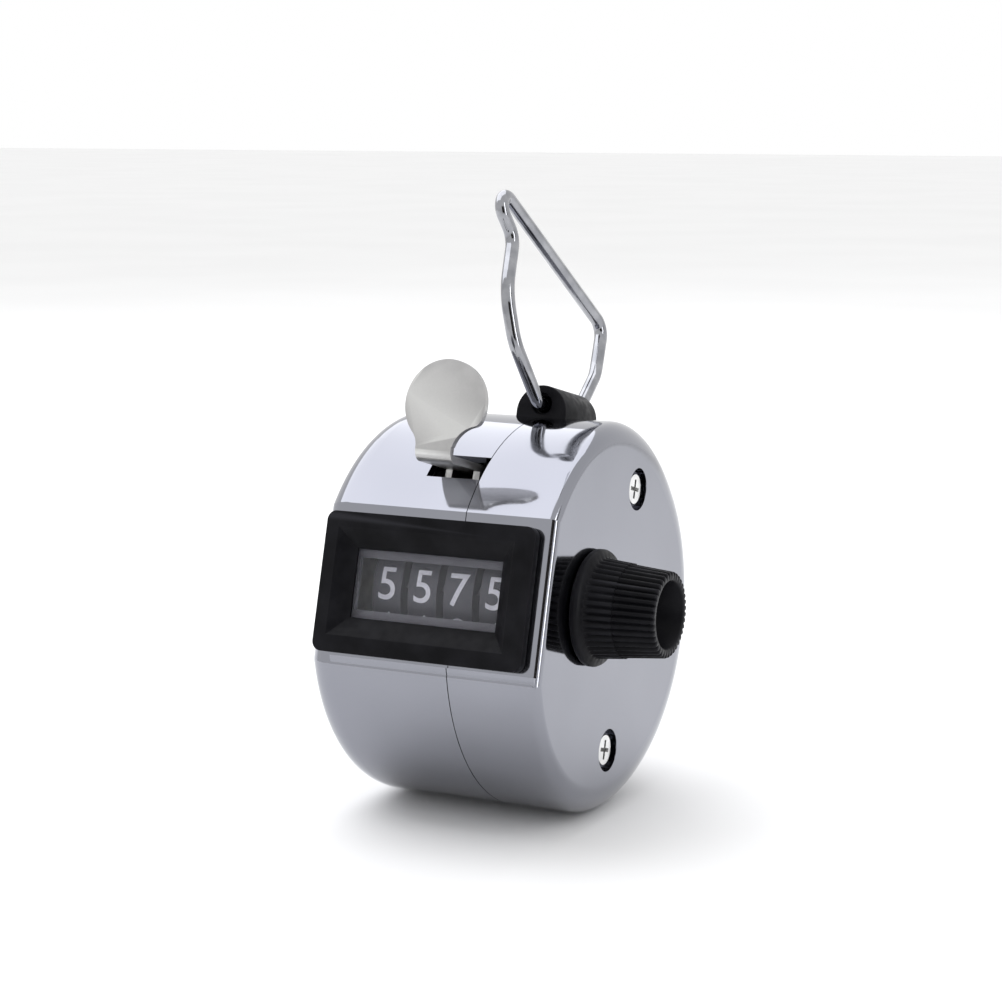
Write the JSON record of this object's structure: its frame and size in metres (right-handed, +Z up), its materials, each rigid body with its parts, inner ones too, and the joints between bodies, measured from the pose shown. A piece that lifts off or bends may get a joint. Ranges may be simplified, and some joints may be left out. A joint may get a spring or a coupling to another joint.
{
  "type": "hand tally counter",
  "caption": "Round chromed hand counter with number wheels behind a framed window, thumb lever, reset knob and wire finger ring.",
  "frame": {"origin": "centre of the flat left side face, on the drum's axis", "axes": "+X runs along the drum from the left face to the reset knob, -Y is the side the window faces, +Z is up; the counter leans back 15.3 degrees about the drum's axis, as it stands in its rest pose"},
  "size_m": [0.0388, 0.0464, 0.0709],
  "materials": {
    "chrome_shell": "bright chromed sheet",
    "black_plastic": "satin moulded",
    "clear_lens": "clear moulded plastic",
    "grey_mask": "matte dark grey",
    "number_wheel": "matte with pale printed numbers",
    "nickel_lever": "satin nickel plate",
    "ring_wire": "bright plated wire",
    "plate_steel": "stamped",
    "turned_steel": "turned",
    "screw_steel": "nickel plated",
    "spring_steel": "drawn wire",
    "brass": "turned"
  },
  "bodies": {
    "housing": {"left_shell": "chrome_shell", "right_shell": "chrome_shell", "window_bezel": "black_plastic", "window_lens": "clear_lens", "digit_mask": "grey_mask", "left_side_plate": "plate_steel", "right_side_plate": "plate_steel", "frame_spacers": "plate_steel", "housing_screws": "screw_steel", "frame_screws": "screw_steel", "left_shaft_bush": "brass", "right_shaft_bush": "brass", "thrust_washers": "brass", "lever_pivot_pin": "turned_steel", "lever_stop_pin": "turned_steel", "lever_return_spring": "spring_steel", "detent_bar": "plate_steel", "detent_spring": "spring_steel", "detent_screws": "screw_steel", "ring_lug": "black_plastic"},
    "lever": {"thumb_lever": "nickel_lever", "lever_bushing": "brass"},
    "feed_pawl": {"pawl_shaft": "turned_steel", "pawl_fingers": "plate_steel", "pawl_spring": "spring_steel"},
    "reset": {"reset_shaft": "turned_steel", "reset_knob": "black_plastic", "knob_screw": "screw_steel", "shaft_clip": "turned_steel"},
    "ring": {"finger_ring": "ring_wire"},
    "thousands": {"thousands_wheel": "number_wheel", "thousands_reset_pawl": "brass"},
    "hundreds": {"hundreds_wheel": "number_wheel", "hundreds_reset_pawl": "brass"},
    "tens": {"tens_wheel": "number_wheel", "tens_reset_pawl": "brass"},
    "units": {"units_wheel": "number_wheel", "units_reset_pawl": "brass"}
  },
  "joints": [
    {"name": "lever_press", "type": "hinge", "parent": "housing", "child": "lever", "pos_m": [0.0147, -0.01257, 0.01204], "axis": [-1, 0, 0], "range_deg": [0, 15], "stiffness_Nm_per_rad": 0.02, "springref_deg": -8.59, "deforming": ["lever_return_spring"]},
    {"name": "feed_pawl_swing", "type": "hinge", "parent": "lever", "child": "feed_pawl", "pos_m": [0.0147, -0.00033, 0.01357], "axis": [-1, 0, 0], "range_deg": [-19.2, 0], "deforming": ["pawl_spring"]},
    {"name": "reset_turn", "type": "hinge", "parent": "housing", "child": "reset", "pos_m": [0.0147, -0.00852, 0.00295], "axis": [1, 0, 0], "continuous": true},
    {"name": "ring_swing", "type": "hinge", "parent": "housing", "child": "ring", "pos_m": [0.01845, 0.00545, 0.02306], "axis": [0, 0.9732, -0.23], "range_deg": [-75, 102]},
    {"name": "thousands_turn", "type": "hinge", "parent": "housing", "child": "thousands", "pos_m": [0.0147, -0.00852, 0.00295], "axis": [1, 0, 0], "continuous": true},
    {"name": "hundreds_turn", "type": "hinge", "parent": "housing", "child": "hundreds", "pos_m": [0.0147, -0.00852, 0.00295], "axis": [1, 0, 0], "continuous": true},
    {"name": "tens_turn", "type": "hinge", "parent": "housing", "child": "tens", "pos_m": [0.0147, -0.00852, 0.00295], "axis": [1, 0, 0], "continuous": true},
    {"name": "units_turn", "type": "hinge", "parent": "housing", "child": "units", "pos_m": [0.0147, -0.00852, 0.00295], "axis": [1, 0, 0], "continuous": true}
  ],
  "couplings": [
    {"joint": "feed_pawl_swing", "follows": "lever_press", "ratio": -1.27}
  ]
}
